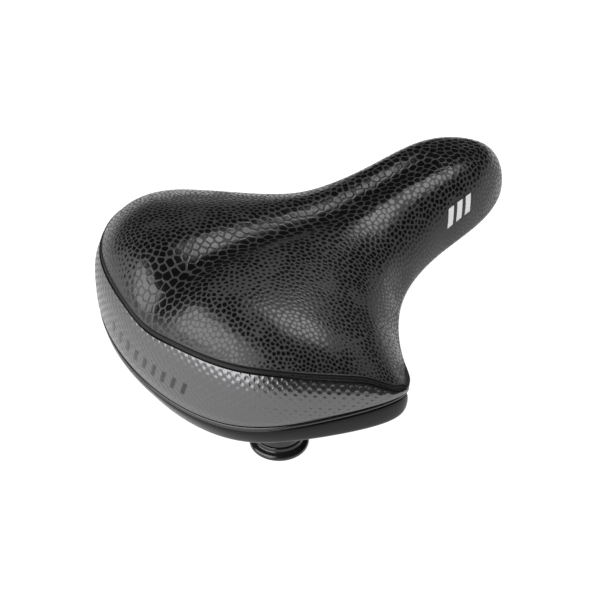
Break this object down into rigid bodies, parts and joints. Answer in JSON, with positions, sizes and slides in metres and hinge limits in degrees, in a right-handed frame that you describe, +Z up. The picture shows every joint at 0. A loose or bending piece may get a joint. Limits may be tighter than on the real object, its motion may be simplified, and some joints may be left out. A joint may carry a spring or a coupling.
{
  "type": "bicycle saddle",
  "caption": "Wide comfort bicycle saddle with a channelled padded cover, rear trim panel and bumper, on twin rails with a rear elastomer suspension.",
  "frame": {"origin": "middle of the straight rail section that a seatpost clamp grips, midway between the rails, at the height of the rail axis", "axes": "+Z up, +Y towards the nose, +X to the rider's right"},
  "size_m": [0.2106, 0.251, 0.1023],
  "materials": {
    "cover_black_pu": "matte with a glossy scale print",
    "panel_silver_pu": "metallic satin, embossed",
    "pu_foam": "matte foam",
    "silicone_gel": "soft gel",
    "base_black_pp": "fine moulded texture",
    "trim_gloss_black": "gloss",
    "rail_black_steel": "satin powder coat",
    "elastomer_black": "matte elastomer",
    "zinc_plated_steel": "zinc plated"
  },
  "bodies": {
    "rail_frame": {"rail_left": "rail_black_steel", "rail_right": "rail_black_steel", "rear_bridge": "rail_black_steel", "elastomer_left": "elastomer_black", "elastomer_right": "elastomer_black"},
    "seat": {"top_cover": "cover_black_pu", "rear_panel": "panel_silver_pu", "edge_piping": "trim_gloss_black", "rear_bumper": "trim_gloss_black", "base_shell": "base_black_pp", "foam_pad": "pu_foam", "gel_insert_left": "silicone_gel", "gel_insert_right": "silicone_gel", "upper_cup_left": "base_black_pp", "upper_cup_right": "base_black_pp", "rebound_bush_left": "elastomer_black", "rebound_bush_right": "elastomer_black", "lower_cap_left": "trim_gloss_black", "lower_cap_right": "trim_gloss_black", "suspension_bolt_left": "zinc_plated_steel", "suspension_bolt_right": "zinc_plated_steel", "lock_nut_left": "zinc_plated_steel", "lock_nut_right": "zinc_plated_steel", "nose_socket": "base_black_pp", "nose_clip": "zinc_plated_steel", "clip_screw_rear": "zinc_plated_steel", "clip_screw_front": "zinc_plated_steel", "bumper_screw_outer_left": "zinc_plated_steel", "bumper_screw_inner_left": "zinc_plated_steel", "bumper_screw_inner_right": "zinc_plated_steel", "bumper_screw_outer_right": "zinc_plated_steel"}
  },
  "joints": [
    {"name": "rear_suspension", "type": "hinge", "parent": "rail_frame", "child": "seat", "pos_m": [0, 0.099, 0.04], "axis": [1, 0, 0], "range_deg": [0, 2.4], "stiffness_Nm_per_rad": 1200, "deforming": ["elastomer_left", "elastomer_right"]}
  ]
}
